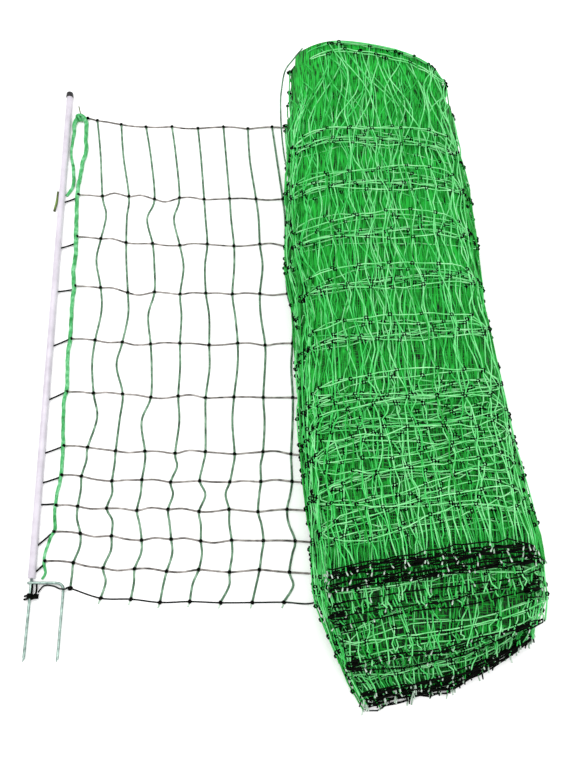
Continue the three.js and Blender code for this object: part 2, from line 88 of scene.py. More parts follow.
def add_camera():
    data = bpy.data.cameras.new("camera")
    data.sensor_width = 36
    data.lens = FOCAL_LENGTH_PX / IMAGE_HEIGHT * data.sensor_width
    data.clip_start, data.clip_end = 0.05, 30
    camera = bpy.data.objects.new("camera", data)
    camera.location = CAMERA_PLACE
    camera.rotation_euler = (CAMERA_TILT, 0, 0)
    bpy.context.scene.collection.objects.link(camera)
    bpy.context.scene.camera = camera


add_camera()

# Sizes of the net, mm

NET_HEIGHT = 1107
MESH_WIDTH = 60
COLUMNS = 8

# The loose ply's rows of knots, from the top line down: how far up the net, where the first and the last
# knot lie, and how far the row climbs to the rope.
ROWS = [
    (1107, -457, -39, 21),
    (911, -430, -16, 10),
    (790, -425, -7, 17),
    (668, -417, -5, 13),
    (547, -419, 9, 10),
    (425, -414, 6, 12),
    (303, -416, 6, 12),
    (242, -425, 4, 9),
    (182, -426, -2, 9),
    (121, -418, 10, 17),
    (61, -425, 3, 16),
    (0, -429, -12, 25),
]
BOTTOM = len(ROWS) - 1

# The pack's outline on the floor: how far up the net, left side, right side.
OUTLINE = [
    (-200, 142, 425),
    (-150, 111, 440),
    (-100, 88, 455),
    (0, 50, 476),
    (100, 42, 473),
    (300, 23, 437),
    (500, 17, 413),
    (600, 11, 403),
    (700, -6, 400),
    (850, -7, 391),
    (1000, -5, 372),
    (1200, -4, 352),
]
PACK_HEIGHT = 214
CROWN = 0.24  # how far its top falls at its sides, as a share of its height
CROWN_SHARPNESS = 4.2  # the higher, the flatter its middle and the rounder its sides
# How far up the pack a ply lies, as a share, and where its foot and its top line lie on the centre line.
PLY_ENDS = [
    (0.0, -165, 996),
    (0.25, -143, 1004),
    (0.26, -104, 1056),
    (0.5, -86, 1068),
    (0.51, -26, 1116),
    (0.75, -4, 1128),
    (0.76, 20, 1176),
    (1.0, 62, 1188),
]
FOOT_SKEW = 27  # mm that the foot's right end lies up the net from its middle
FOOT_ROUND = 92  # mm that the right corner of the lowest plies is rounded off, about
TOP_ROUND = 40  # mm that the far end falls back from its peak, one half width away
TOP_PEAK = -0.45  # where the far end peaks, from -1 at the pack's left side to 1 at its right
SIDE_SWAY = 6  # mm that the sides of the plies sway in and out
WIDEST = 0.35  # how far up the pack its widest ply lies, as a share
FLOOR_WIDTH = 0.965  # the lowest ply's width, as a share of the widest one's
SHOULDER = 0.11  # how much narrower the top ply is than the widest one
# Where each row of knots lies in the folded pack, as a share of the way from its foot to its top line.
PACK_ROWS = [0.998, 0.7915, 0.698, 0.598, 0.494, 0.391, 0.286, 0.2385, 0.1925, 0.137, 0.080, 0.0]

# The rope down the net's edge: x, y, radius.
ROPE_ROUTE = [
    (-512, 918, 3.2),
    (-507, 926, 3.6),
    (-499, 946, 4),
    (-500, 970, 4),
    (-504, 1000, 3.8),
    (-511, 1030, 3.2),
    (-511, 1060, 3.4),
    (-509, 1090, 4.2),
    (-510, 1112, 5),
    (-506, 1128, 6),
    (-496, 1134, 7),
    (-486, 1129, 6),
    (-481, 1110, 5),
    (-480, 1075, 5),
    (-476, 1040, 5),
    (-482, 1008, 5),
    (-484, 975, 4.8),
    (-487, 944, 4.6),
    (-487, 905, 4.8),
    (-484, 857, 4.8),
    (-481, 806, 5.2),
    (-478, 764, 4.8),
    (-480, 726, 4.8),
    (-475, 680, 5),
    (-476, 645, 4.6),
    (-473, 560, 4.8),
    (-475, 520, 4.4),
    (-470, 445, 4.6),
    (-474, 418, 4.2),
    (-470, 350, 4),
    (-467, 316, 4.2),
    (-466, 253, 4),
    (-471, 212, 3.5),
    (-472, 175, 3.4),
    (-468, 147, 3.8),
    (-475, 128, 3.2),
    (-483, 98, 3),
    (-484, 76, 3.4),
    (-479, 58, 2.8),
    (-485, 45, 2.6),
]
ROPE_EDGE = 12  # the route's points from this one on run down the net's edge

# The ties from the post to the rope: the net row, and how far up the net they leave the post and meet the
# rope.
TIES = [
    (2, 899, 911),
    (3, 780, 792),
    (4, 671, 677),
    (5, 541, 557),
    (6, 418, 435),
    (7, 301, 315),
    (8, 238, 250),
    (9, 193, 195),
    (10, 110, 134),
    (11, 58, 72),
]

# The middle of the post at its foot and at its top: x, y.
POST_FOOT, POST_TOP = (-504, 46), (-527, 1190)
POST_RADIUS = 7.5
ROD_RADIUS = 2.75

# Materials


def colour(text):
    """The linear colour of an sRGB hex value."""
    parts = [int(text[i : i + 2], 16) / 255 for i in (1, 3, 5)]
    return (*[p / 12.92 if p <= 0.04045 else ((p + 0.055) / 1.055) ** 2.4 for p in parts], 1)


def node(tree, kind, inputs=None, stops=None, **settings):
    """Adds a node. A socket in inputs is linked, and any other value is set."""
    made = tree.nodes.new("ShaderNode" + kind)
    for name, value in settings.items():
        setattr(made, name, value)
    for name, value in (inputs or {}).items():
        if isinstance(value, bpy.types.NodeSocket):
            tree.links.new(value, made.inputs[name])
        else:
            made.inputs[name].default_value = value
    if stops:
        ramp = made.color_ramp.elements
        ramp[0].position, ramp[0].color = stops[0][0], colour(stops[0][1])
        ramp[1].position, ramp[1].color = stops[-1][0], colour(stops[-1][1])
        for place, text in stops[1:-1]:
            ramp.new(place).color = colour(text)
    return made


def combined(tree, operation, first, second):
    """The value that a Math node makes of two others."""
    return node(tree, "Math", {0: first, 1: second}, operation=operation).outputs["Value"]


def new_material(name):
    material = bpy.data.materials.new(name)
    material.use_nodes = True
    tree = material.node_tree
    tree.nodes.clear()
    return material, tree


TWINE_TWIST_MM = 1.6  # coarser than the real twist of the filaments, so that it shows


def polyethylene_twine(name, stops, fleck_mm=22, rough=0.5, gloss=0.25):
    """Twisted polyethylene filaments: a soft sheen, a colour that drifts along each strand, and the twist
    in relief. fleck_mm is how long a patch of one shade is."""
    material, tree = new_material(name)
    place = node(tree, "TexCoord").outputs["Object"]
    drift = node(tree, "TexNoise", {"Vector": place, "Scale": 1 / (fleck_mm * MM), "Detail": 3.0})
    shades = node(tree, "ValToRGB", {"Fac": drift.outputs["Fac"]}, stops)
    twist = node(tree, "TexNoise", {"Vector": place, "Scale": 1 / (TWINE_TWIST_MM * MM), "Detail": 1.0})
    relief = node(tree, "Bump", {"Height": twist.outputs["Fac"], "Strength": 0.5, "Distance": 0.6 * MM})
    skin = node(
        tree,
        "BsdfPrincipled",
        {
            "Base Color": shades.outputs["Color"],
            "Roughness": rough,
            "Specular IOR Level": gloss,
            "Normal": relief.outputs["Normal"],
        },
    )
    node(tree, "OutputMaterial", {"Surface": skin.outputs["BSDF"]})
    return material


MAT_STREAK_MM = 2.4  # as wide as a strand of the inner plies shows


def inner_plies():
    """The plies under the outer ones, seen as a green mat: streaks along its strands, with near black
    painted shade in the gaps between them, more of this painted shade towards the foot, where its rows show
    too."""
    material, tree = new_material("netting_mat_painted_shade")
    place = node(tree, "TexCoord").outputs["Object"]
    lengthwise = node(tree, "Mapping", {"Vector": place, "Scale": (1.0, 0.07, 0.5)})
    crosswise = node(tree, "Mapping", {"Vector": place, "Scale": (0.09, 1.0, 0.5)})
    fine = {"Scale": 1 / (MAT_STREAK_MM * MM), "Detail": 2.0}
    uprights = node(tree, "TexNoise", {"Vector": lengthwise.outputs["Vector"], **fine})
    rows = node(tree, "TexNoise", {"Vector": crosswise.outputs["Vector"], **fine})
    along = node(tree, "SeparateXYZ", {"Vector": place}).outputs["Y"]
    lower_half = {"Value": along, "From Min": 0.15, "From Max": -0.25}
    foot = {"Value": along, "From Min": -0.36, "From Max": -0.5}
    row_share = node(tree, "MapRange", {**lower_half, "To Min": 0.72, "To Max": 0.95})
    # Painted shade: the mat darkens between its strands over its lower half, and more again at the foot.
    lower_gap_shade = node(tree, "MapRange", {**lower_half, "To Min": 0.0, "To Max": -0.085})
    foot_gap_shade = node(tree, "MapRange", {**foot, "To Min": 0.0, "To Max": -0.05})
    seen_rows = combined(tree, "MULTIPLY", rows.outputs["Fac"], row_share.outputs["Result"])
    weave = combined(tree, "MAXIMUM", uprights.outputs["Fac"], seen_rows)
    painted_gap_shade = combined(tree, "ADD", lower_gap_shade.outputs["Result"], foot_gap_shade.outputs["Result"])
    height = combined(tree, "ADD", weave, painted_gap_shade)
    # The ramp's low end is near black: painted shade where the mat is open between its strands.
    shades = node(
        tree,
        "ValToRGB",
        {"Fac": height},
        [(0.35, "#010601"), (0.41, "#0a5417"), (0.47, "#108a25"), (0.59, "#22b03b")],
    )
    relief = node(tree, "Bump", {"Height": height, "Strength": 0.8, "Distance": 3 * MM})
    skin = node(
        tree,
        "BsdfPrincipled",
        {
            "Base Color": shades.outputs["Color"],
            "Roughness": 0.6,
            "Specular IOR Level": 0.15,
            "Normal": relief.outputs["Normal"],
        },
    )
    node(tree, "OutputMaterial", {"Surface": skin.outputs["BSDF"]})
    return material


def moulded_plastic(name, stops, rough, grain_mm=30):
    """Moulded or extruded plastic: an even colour with faint handling marks and a low gloss."""
    material, tree = new_material(name)
    place = node(tree, "TexCoord").outputs["Object"]
    marked = {"Scale": 1 / (grain_mm * MM), "Detail": 6.0, "Roughness": 0.6}
    marks = node(tree, "TexNoise", {"Vector": place, **marked})
    shades = node(tree, "ValToRGB", {"Fac": marks.outputs["Fac"]}, stops)
    relief = node(tree, "Bump", {"Height": marks.outputs["Fac"], "Strength": 0.15, "Distance": 0.5 * MM})
    skin = node(
        tree,
        "BsdfPrincipled",
        {
            "Base Color": shades.outputs["Color"],
            "Roughness": rough,
            "IOR": 1.46,
            "Normal": relief.outputs["Normal"],
        },
    )
    node(tree, "OutputMaterial", {"Surface": skin.outputs["BSDF"]})
    return material


ZINC_SPANGLE_MM = 7


def zinc_plated_steel():
    """Galvanised rod: a cool grey metal with soft spangle and dull patches."""
    material, tree = new_material("zinc_plated_steel")
    place = node(tree, "TexCoord").outputs["Object"]
    spangle = node(tree, "TexNoise", {"Vector": place, "Scale": 1 / (ZINC_SPANGLE_MM * MM), "Detail": 4.0})
    shades = node(tree, "ValToRGB", {"Fac": spangle.outputs["Fac"]}, [(0.3, "#63766f"), (0.7, "#a5bab2")])
    dull = node(tree, "MapRange", {"Value": spangle.outputs["Fac"], "To Min": 0.28, "To Max": 0.5})
    skin = node(
        tree,
        "BsdfPrincipled",
        {"Base Color": shades.outputs["Color"], "Metallic": 1.0, "Roughness": dull.outputs["Result"]},
    )
    node(tree, "OutputMaterial", {"Surface": skin.outputs["BSDF"]})
    return material


def floor_paint():
    """Matt white studio floor."""
    material, tree = new_material("white_floor")
    skin = node(tree, "BsdfPrincipled", {"Base Color": colour("#fbfbfb"), "Roughness": 0.9})
    node(tree, "OutputMaterial", {"Surface": skin.outputs["BSDF"]})
    return material


# The pack's strands are lit and shaded copies of one green: the deep copy is painted shade on the inner
# plies, and the mint copy is painted light on the outer ones; the middle copy lies between.
UPRIGHT_SHADED = polyethylene_twine("shaded_green_twine", [(0.3, "#0a8420"), (0.5, "#15982f"), (0.7, "#24aa42")])
UPRIGHT_HALF_LIT = polyethylene_twine("half_lit_green_twine", [(0.3, "#20aa3e"), (0.5, "#37bd55"), (0.7, "#55cf6f")])
UPRIGHT_LIT = polyethylene_twine(
    "lit_mint_twine", [(0.3, "#45c05d"), (0.5, "#66cf7a"), (0.7, "#8bdd98")]
)
# The rows' two copies: the green one is painted shade on the inner plies, the pale one painted light on the
# outer ones.
ROW_SHADED = polyethylene_twine("shaded_row_twine", [(0.3, "#2fae4a"), (0.5, "#4cc265"), (0.7, "#70d482")])
ROW_LIT = polyethylene_twine("lit_row_twine", [(0.3, "#52c166"), (0.5, "#73d182"), (0.7, "#99e0a2")])
# The loose ply's strands look greyer against the white floor, and brownish along its rows.
LOOSE_UPRIGHT = polyethylene_twine(
    "grey_green_twine", [(0.3, "#28442f"), (0.5, "#4f7358"), (0.7, "#7d9c84")], fleck_mm=14
)
LOOSE_ROW = polyethylene_twine(
    "brown_grey_twine", [(0.32, "#35312e"), (0.5, "#7a7470"), (0.7, "#aca6a2")], fleck_mm=16
)
# The knots and the bottom line are near black and all but without sheen.
KNOT_GREEN = polyethylene_twine(
    "dark_knot_twine",
    [(0.35, "#000200"), (0.6, "#020a03"), (0.8, "#0a220e")],
    fleck_mm=4,
    rough=0.7,
    gloss=0.03,
)
LINE_BLACK = polyethylene_twine(
    "black_line_twine", [(0.3, "#010201"), (0.7, "#0b0d09")], fleck_mm=12, rough=0.7, gloss=0.03
)
# The rope is a softer green, browned where its end has frayed, and the strands' cut ends are pale.
ROPE_GREEN = polyethylene_twine(
    "green_rope_fibre", [(0.32, "#1f7c38"), (0.5, "#46a360"), (0.68, "#7cc190")], fleck_mm=12, rough=0.6
)
TAIL_BROWN = polyethylene_twine(
    "weathered_rope_end", [(0.35, "#2b1f16"), (0.5, "#4a5a2c"), (0.7, "#6f8a45")], fleck_mm=16
)
STUB_PALE = polyethylene_twine("pale_twine_ends", [(0.3, "#7d9c84"), (0.7, "#c9d8cb")], fleck_mm=10)
NET_MAT = inner_plies()
POST_WHITE = moulded_plastic("white_extruded_pvc", [(0.3, "#b4adb8"), (0.6, "#c9c3cd")], rough=0.35)
CAP_BLACK = moulded_plastic(
    "black_moulded_cap", [(0.3, "#0e0e10"), (0.7, "#1e1e20")], rough=0.25, grain_mm=6
)
STEEL = zinc_plated_steel()

# Making pieces


def add_piece(name, mesh, replaced=(), finish=None):
    """Shows a mesh as a piece that rides on the frame, in a finish where it has none of its own."""
    piece = bpy.data.objects.new(name, mesh)
    bpy.context.scene.collection.objects.link(piece)
    if finish:
        mesh.materials.append(finish)
    mesh.shade_smooth()
    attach(piece, "root")
    if replaced:
        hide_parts(*replaced)
    return piece


def smooth_line(points, steps):
    """A soft curve through the points, with so many steps between each two."""
    line = [points[0]]
    for i in range(len(points) - 1):
        a, b = points[i], points[i + 1]
        before = points[i - 1] if i else a
        after = points[i + 2] if i + 2 < len(points) else b
        leaving, arriving = a + (b - before) / 6, b - (after - a) / 6
        line += geometry.interpolate_bezier(a, leaving, arriving, b, steps + 1)[1:]
    return line


def route_line(route, steps):
    """A soft curve through a table of places."""
    return smooth_line([at(*place) for place in route], steps)


def add_strands(name, lines, radius, finishes, replaced=(), sides=6, shares=None, shades=None):
    """Shows lines as a piece of round strands, their radius in mm. shares thicken them point by point, and
    shades number each line's material in finishes."""
    curve = bpy.data.curves.new(name, "CURVE")
    curve.dimensions = "3D"
    curve.use_fill_caps = True
    curve.bevel_depth = radius * MM
    curve.bevel_resolution = (sides - 4) // 2
    for finish in finishes:
        curve.materials.append(finish)
    for number, line in enumerate(lines):
        spline = curve.splines.new("POLY")
        spline.points.add(len(line) - 1)
        spline.points.foreach_set("co", [part for point in line for part in (*point, 1.0)])
        if shares:
            spline.points.foreach_set("radius", shares[number])
        if shades:
            spline.material_index = shades[number]
    maker = bpy.data.objects.new(name + "_maker", curve)
    bpy.context.scene.collection.objects.link(maker)
    mesh = bpy.data.meshes.new_from_object(maker)
    bpy.data.objects.remove(maker)
    bpy.data.curves.remove(curve)
    shape = bmesh.new()
    shape.from_mesh(mesh)
    bmesh.ops.remove_doubles(shape, verts=shape.verts, dist=1e-6)
    shape.to_mesh(mesh)
    shape.free()
    mesh.name = name
    return add_piece(name, mesh, replaced)


def knot_shape():
    """A knot pulled tight, as a ball of few faces."""
    shape = bmesh.new()
    bmesh.ops.create_icosphere(shape, subdivisions=1, radius=1)
    return shape


def knot_ring():
    """A knot whose dark twine rings the crossing, which shows in its middle."""
    shape = bmesh.new()
    section = bmesh.ops.create_circle(shape, segments=3, radius=0.5)["verts"]
    bmesh.ops.transform(shape, matrix=Matrix.Rotation(math.pi / 2, 4, "X"), verts=section)
    bmesh.ops.translate(shape, vec=(0.72, 0, 0), verts=section)
    bmesh.ops.spin(
        shape,
        geom=[*section, *shape.edges],
        axis=(0, 0, 1),
        cent=(0, 0, 0),
        steps=6,
        angle=math.tau,
        use_merge=True,
    )
    bmesh.ops.remove_doubles(shape, verts=shape.verts, dist=1e-4)
    bmesh.ops.recalc_face_normals(shape, faces=shape.faces)
    return shape


def add_knots(name, shape, places, finish):
    """Shows one piece with a copy of the shape at each matrix. There are thousands, so numpy places them."""
    shape.verts.ensure_lookup_table()
    corners = np.array([(*v.co, 1) for v in shape.verts])
    faces = np.array([[v.index for v in f.verts] for f in shape.faces])
    shape.free()
    points = np.concatenate([corners @ np.array(place).T for place in places])[:, :3]
    count = len(corners)
    shifted = np.concatenate([faces + i * count for i in range(len(places))])
    mesh = bpy.data.meshes.new(name)
    mesh.from_pydata(points.tolist(), [], shifted.tolist())
    return add_piece(name, mesh, finish=finish)


def lump(place, size, turn=0.0):
    """A knot's matrix: its place, its half sizes along, across and up in mm, and its turn on the floor."""
    scale = Matrix.Diagonal((size[0] * MM, size[1] * MM, size[2] * MM, 1))
    return Matrix.Translation(place) @ Matrix.Rotation(turn, 4, "Z") @ scale


# The folded pack
# The netting folds back and forth over its own length. A place on it is given by s, the number of folds
# laid so far, and by along, the share of the way from the foot to the top line.

PLIES = 80
FOLD = 0.03  # share of a ply's width that is spent on turning
PACK_STRAND = 2.7  # as thick as an upright's strand looks, mm
PACK_ROW_STRAND = 2.4  # the same for a row's
PACK_LINE = 2.7  # the black lines at the pack's foot
PACK_STUB = 2.8  # the strands' cut ends below them
PACK_WIDTH = 410  # mean width of a ply, mm
BUNDLE = 0.25  # the plies lie in four bundles, each a step further up the net than the one below


def pack_place(across, up, along, foot, top):
    """Where a point of the pack lies. across is -1 at its left side and 1 at its right, up is 0 to 1."""
    corner = max(across - 0.1, 0) ** 1.5
    foot = foot + FOOT_SKEW * across + FOOT_ROUND * (1 - up) ** 2 * corner
    y = lerp(foot, top, along) - TOP_ROUND * abs(across - TOP_PEAK) ** 1.6 * clamp(along, 0, 1) ** 4
    left, right = read_table(OUTLINE, y, 1), read_table(OUTLINE, y, 2)
    if up < WIDEST:
        width = lerp(FLOOR_WIDTH, 1, up / WIDEST)
    else:
        width = 1 - SHOULDER * ((up - WIDEST) / (1 - WIDEST)) ** 2
    sway = SIDE_SWAY * math.sin(0.009 * y + 17 * up) * abs(across)
    x = (left + right) / 2 + 0.5 * (right - left) * across * width + sway
    fall = 1 - CROWN * abs(clamp(across, -1, 1)) ** CROWN_SHARPNESS * (0.25 + 0.75 * up)
    wave = 1 + 0.012 * math.sin(0.021 * x + 0.013 * y)
    return at(x, y, up * fall * wave * PACK_HEIGHT)


def fold_place(s, plies):
    """How far across and up the pack the folded netting is after s folds."""
    ply = clamp(math.floor(s), 0, plies - 1)
    run = s - ply
    across = 2 * run - 1 if ply % 2 == 0 else 1 - 2 * run
    turn = clamp(round(s), 1, plies - 1)
    level = ply + 0.5
    if abs(s - turn) < FOLD:
        level = turn - 0.5 + smooth_step((s - turn) / (2 * FOLD) + 0.5)
    return across, level / plies


def soft_noise(*place):
    """A smooth random value from about -1 to 1 that depends on the place alone."""
    return noise.noise(Vector(place))


MAT_TOP = 0.9  # how far up the pack the mat of inner plies reaches
OUTER = 0.84  # the plies above this share show all over
SIDE = 0.84  # the strands outside this show from the side


def ply_slip(ply):
    """How far a ply slips at its foot, at its top line and between, in mm, and how much its lowest rows are
    pushed together."""
    share = (ply + 0.5) / PLIES
    foot = chance.uniform(-12, 12) if BUNDLE < share < 3 * BUNDLE else chance.uniform(-7, 7)
    top = chance.uniform(-30, 3) if share > OUTER else chance.uniform(-9, 5)
    between = chance.uniform(-15, 15)
    return foot, top, between, chance.uniform(0.3, 1.2) if share < 3 * BUNDLE else 0


PLY_SLIPS = [ply_slip(ply) for ply in range(PLIES)]
FOOT_WAVE, ROW_WAVE, LIFT_WAVE = 13, 26, 1.6  # mm that the netting strays at its foot, along it and upwards
SIDE_WAVE = 0.10  # how far it strays across the pack, in half widths
FOOT_SLACK = 2.1  # how much more it slips near its foot
PUSHED = 0.15  # what is left of the lowest rows' spacing where they are pushed together fully
FLOOR_GAP = 1.4  # mm that a strand's middle stays above the floor


def net_place(s, along, reach=1.0):
    """Where a point of the folded netting lies, with the slips and waves of its ply."""
    across, up = fold_place(s, PLIES)
    near = clamp(s - 0.5, 0, PLIES - 1.001)
    low, share = int(near), smooth_step((near % 1 - 0.5) / 0.2 + 0.5)
    slips = zip(PLY_SLIPS[low], PLY_SLIPS[low + 1])
    foot_slip, top_slip, row_slip, push = [lerp(a, b, share) for a, b in slips]
    along *= lerp(1, PUSHED, clamp(push * (1 - smooth_step(along / 0.25)), 0, 1))
    foot, top = read_table(PLY_ENDS, up, 1) + foot_slip, read_table(PLY_ENDS, up, 2) + top_slip
    foot += FOOT_WAVE * (1.3 - up) * soft_noise(s * 2.7, 1.0, 6.0)
    slack = lerp(FOOT_SLACK, 1, smooth_step(along / 0.42))
    slip = slack * (row_slip + ROW_WAVE * soft_noise(s * 1.7, along * 4.1, 4.0)) / NET_HEIGHT
    fade = smooth_step(along * 14) * smooth_step((1 - along) * 9)
    across += SIDE_WAVE * soft_noise(s * 2.3, along * 6.0, 11.0)
    place = pack_place(clamp(across, -reach, reach), up, along + slip * fade, foot, top)
    place.z += LIFT_WAVE * MM * soft_noise(s * 11.0, along * 16.0, 2.0)
    place.z = max(place.z, FLOOR_GAP * MM)
    return place


UPRIGHT_STEP = MESH_WIDTH / PACK_WIDTH
ROW_STEPS = [8, 5, 5, 5, 5, 5, 4, 3, 3, 3, 3]  # the steps of an upright's line in each gap between rows
KNOT_STRAY, FOLD_STRAY, TOP_STRAY = 0.022, 0.004, 0.2  # how far a knot strays along its row, in ply widths
TOP_BOW, LONG_BOW, SHORT_BOW = 0.09, 0.035, 0.016  # how far an upright bows between two rows, in ply widths
ROW_DIP, FOOT_DIP = 4.5, 7  # mm that a row's strand rises or dips between its knots
FOOT_ROWS = range(7, BOTTOM)  # the gaps between rows that the steps of the pack's near end lay bare


def dip(s, row):
    """How far a row's strand rises or dips between its knots, as a share of the net's height."""
    depth = FOOT_DIP if row in FOOT_ROWS or row == BOTTOM else ROW_DIP
    return depth / NET_HEIGHT * soft_noise(s * 13.0, row * 3.3, 8.0)


def shade_of(ply, shades):
    """A strand's shade number, from 0 for the most shaded copy, painted shade, to the lit copy, painted
    light: the lit ones lie mostly in the outer plies, and in the upper plies of each bundle, which its step
    lays bare."""
    share = ply / PLIES
    outer = clamp((share - 0.86) / 0.1, 0, 1) if share > 0.76 else (share % BUNDLE > 0.13)
    draw = chance.random()
    if draw < lerp(0.12, 0.72, outer):
        return shades - 1
    return 0 if draw > lerp(0.5, 0.92, outer) else shades // 2


def shown_stretches(s):
    """The gaps between rows where an upright shows: inside the pack, only at its two ends."""
    across, up = fold_place(s, PLIES)
    if up > OUTER or abs(across) > SIDE:
        return [range(BOTTOM)]
    return [range(1), FOOT_ROWS]


def upright_line(s, strays, gaps):
    """A strand of an upright, from row to row, and its knots."""
    line, knots = [], []
    for row in gaps:
        steps = ROW_STEPS[row]
        size = TOP_BOW if row == 0 else LONG_BOW if row not in FOOT_ROWS else SHORT_BOW
        bow, wriggle = chance.uniform(-size, size), chance.uniform(-0.5, 0.5) * size
        high, low = PACK_ROWS[row] + dip(s, row), PACK_ROWS[row + 1] + dip(s, row + 1)
        for step in range(steps):
            share = step / steps
            aside = lerp(strays[row], strays[row + 1], smooth_step(share))
            aside += bow * math.sin(math.pi * share) ** 2 + wriggle * math.sin(math.tau * share)
            line.append(net_place(clamp(s + aside, 0, PLIES), lerp(high, low, share)))
            if step == 0:
                knots.append(line[-1])
    last = gaps[-1] + 1
    line.append(net_place(clamp(s + strays[last], 0, PLIES), PACK_ROWS[last] + dip(s, last)))
    return line, knots


def upright_places():
    """Where the uprights stand along the folded net: one on every fold, and the others a mesh apart."""
    places = [float(fold) for fold in range(1, PLIES)]
    s = 0.05
    while s < PLIES:
        places.append(s)
        s += UPRIGHT_STEP * chance.uniform(0.85, 1.15)
    return places


def lines_foot(ply):
    """Whether the ply's black line shows at its foot: on some it is tucked in behind its neighbours."""
    share = (ply + 0.5) / PLIES
    return share < BUNDLE or share > 0.76 and ply % 4 != 1 or ply % 5 == 2


def pack_uprights():
    """The lines of the pack's upright strands, their shades, their knots, and their ends at the foot."""
    lines, shades, knots, ends = [], [], [], []
    for s in upright_places():
        on_fold = s == int(s)
        stray = FOLD_STRAY if on_fold else KNOT_STRAY
        strays = [chance.uniform(-stray, stray) for _ in PACK_ROWS]
        if not on_fold:
            strays[0] = chance.uniform(-TOP_STRAY, TOP_STRAY)
        shade = shade_of(s, 3)
        for gaps in shown_stretches(s):
            line, tied = upright_line(s, strays, gaps)
            lines.append(line)
            shades.append(shade)
            knots += tied
        if lines_foot(int(s)):
            reach = chance.uniform(3, 14) if s < 0.2 * PLIES else chance.uniform(3, 9)
            ends.append([line[-1], line[-1] + Vector((chance.uniform(-4, 4), -reach, 0)) * MM])
    return lines, shades, knots, ends


# The places along a ply, in ply widths, that a row's line goes through: over the whole ply, or round a
# fold.
WHOLE_ROW = [0.0, FOLD, *[0.05 + 0.05 * i for i in range(1, 18)], 1 - FOLD, 1.0]
FOLD_TURN = [-0.09, -0.05, -FOLD, 0.0, FOLD, 0.05, 0.09]
ROW_REACH = 0.975  # how far out a row turns, as a share of the pack's half width


def pack_rows(rows):
    """The lines of the pack's rows, ply by ply, and their shades. Where the mat hides a row, only its turns
    at the pack's sides are made."""
    lines, shades = [], []
    for row in rows:
        for ply in range(PLIES):
            whole = (ply + 0.5) / PLIES > OUTER or row == 0 or row in FOOT_ROWS
            if row == BOTTOM:
                whole = lines_foot(ply)
            runs = WHOLE_ROW if whole else FOLD_TURN
            places = [clamp(ply + run, 0, PLIES) for run in runs]
            lines.append([net_place(s, PACK_ROWS[row] + dip(s, row), ROW_REACH) for s in places])
            shades.append(shade_of(ply, 2))
    return lines, shades


UPRIGHT_LINES, UPRIGHT_SHADES, PACK_KNOTS, PACK_ENDS = pack_uprights()
pack_strands = add_strands(
    "pack_upright_strands",
    UPRIGHT_LINES,
    0.5 * PACK_STRAND,
    [UPRIGHT_SHADED, UPRIGHT_HALF_LIT, UPRIGHT_LIT],
    ["folded_net"],
    sides=4,
    shades=UPRIGHT_SHADES,
)
ROW_LINES, ROW_SHADES = pack_rows(range(BOTTOM))
pack_row_strands = add_strands(
    "pack_row_strands",
    ROW_LINES,
    0.5 * PACK_ROW_STRAND,
    [ROW_SHADED, ROW_LIT],
    sides=4,
    shades=ROW_SHADES,
)
END_SHADES = [chance.choice([0, 0, 1]) for _ in PACK_ENDS]
pack_ends = add_strands(
    "pack_strand_ends",
    PACK_ENDS,
    0.5 * PACK_STUB,
    [STUB_PALE, KNOT_GREEN],
    sides=4,
    shades=END_SHADES,
)
FOOT_LINES, _ = pack_rows([BOTTOM])
pack_bottom_lines = add_strands(
    "pack_bottom_lines", FOOT_LINES, 0.5 * PACK_LINE, [LINE_BLACK], sides=4
)


def pack_knot(place):
    """The matrix of a knot on the pack, each of its own size and turn."""
    size = [chance.uniform(3.7, 4.9), chance.uniform(3.5, 4.6), 3.0]
    return lump(place + Vector((0, 0, 0.7 * MM)), size, chance.uniform(0, math.pi))


PACK_KNOT_PLACES = [pack_knot(place) for place in PACK_KNOTS]
pack_knots = add_knots("pack_knots", knot_ring(), PACK_KNOT_PLACES, KNOT_GREEN)

MAT_PLIES = 12
MAT_SHRINK = 0.965  # the mat of inner plies stands inside the outer strands
MAT_CELL = 0.05  # the width of one of its faces, in ply widths
MAT_RIM, MAT_SUNK = 20, 17  # mm that it is raised at its far end, and lies lower at its foot
MAT_THICKNESS = 1.5
MAT_CELLS_ALONG = 24


def netting_mat():
    """The inner plies as one thin sheet on the same back-and-forth folds."""
    shape = bmesh.new()
    cells_across = int(MAT_PLIES / MAT_CELL)
    bmesh.ops.create_grid(shape, x_segments=cells_across, y_segments=MAT_CELLS_ALONG, size=1)
    for corner in shape.verts:
        s = (corner.co.x * 0.5 + 0.5) * MAT_PLIES  # the grid runs from -1 to 1 both ways
        along = lerp(0.004, 1.004, corner.co.y * 0.5 + 0.5)
        across, up = fold_place(s, MAT_PLIES)
        up = lerp(0.015, MAT_TOP, up)
        foot, top = read_table(PLY_ENDS, up, 1), read_table(PLY_ENDS, up, 2) + 8 * up
        corner.co = pack_place(across * MAT_SHRINK, up, along, foot, top)
        rim, sunk = smooth_step((along - 0.88) / 0.12), 1 - smooth_step(along / 0.16)
        corner.co.z = max(corner.co.z + (MAT_RIM * rim * up - MAT_SUNK * sunk) * MM, 0.8 * MM)
    bmesh.ops.recalc_face_normals(shape, faces=shape.faces)
    mesh = bpy.data.meshes.new("netting_mat")
    shape.to_mesh(mesh)
    shape.free()
    return mesh


netting = add_piece("netting_mat", netting_mat(), finish=NET_MAT)
thickness = netting.modifiers.new("thickness", "SOLIDIFY")
thickness.thickness = MAT_THICKNESS * MM
thickness.offset = 0

# The loose ply

LOOSE_STRAND, LOOSE_ROW_STRAND = 4.6, 4.0  # mm, as thick as they look
LOOSE_KNOT, ROPE_KNOT = (4.9, 4.5, 2.9), (4.4, 4.0, 4.2)  # half sizes, mm
BOW_PLACE = 0.45  # how far between two knots a strand bows or arches the most


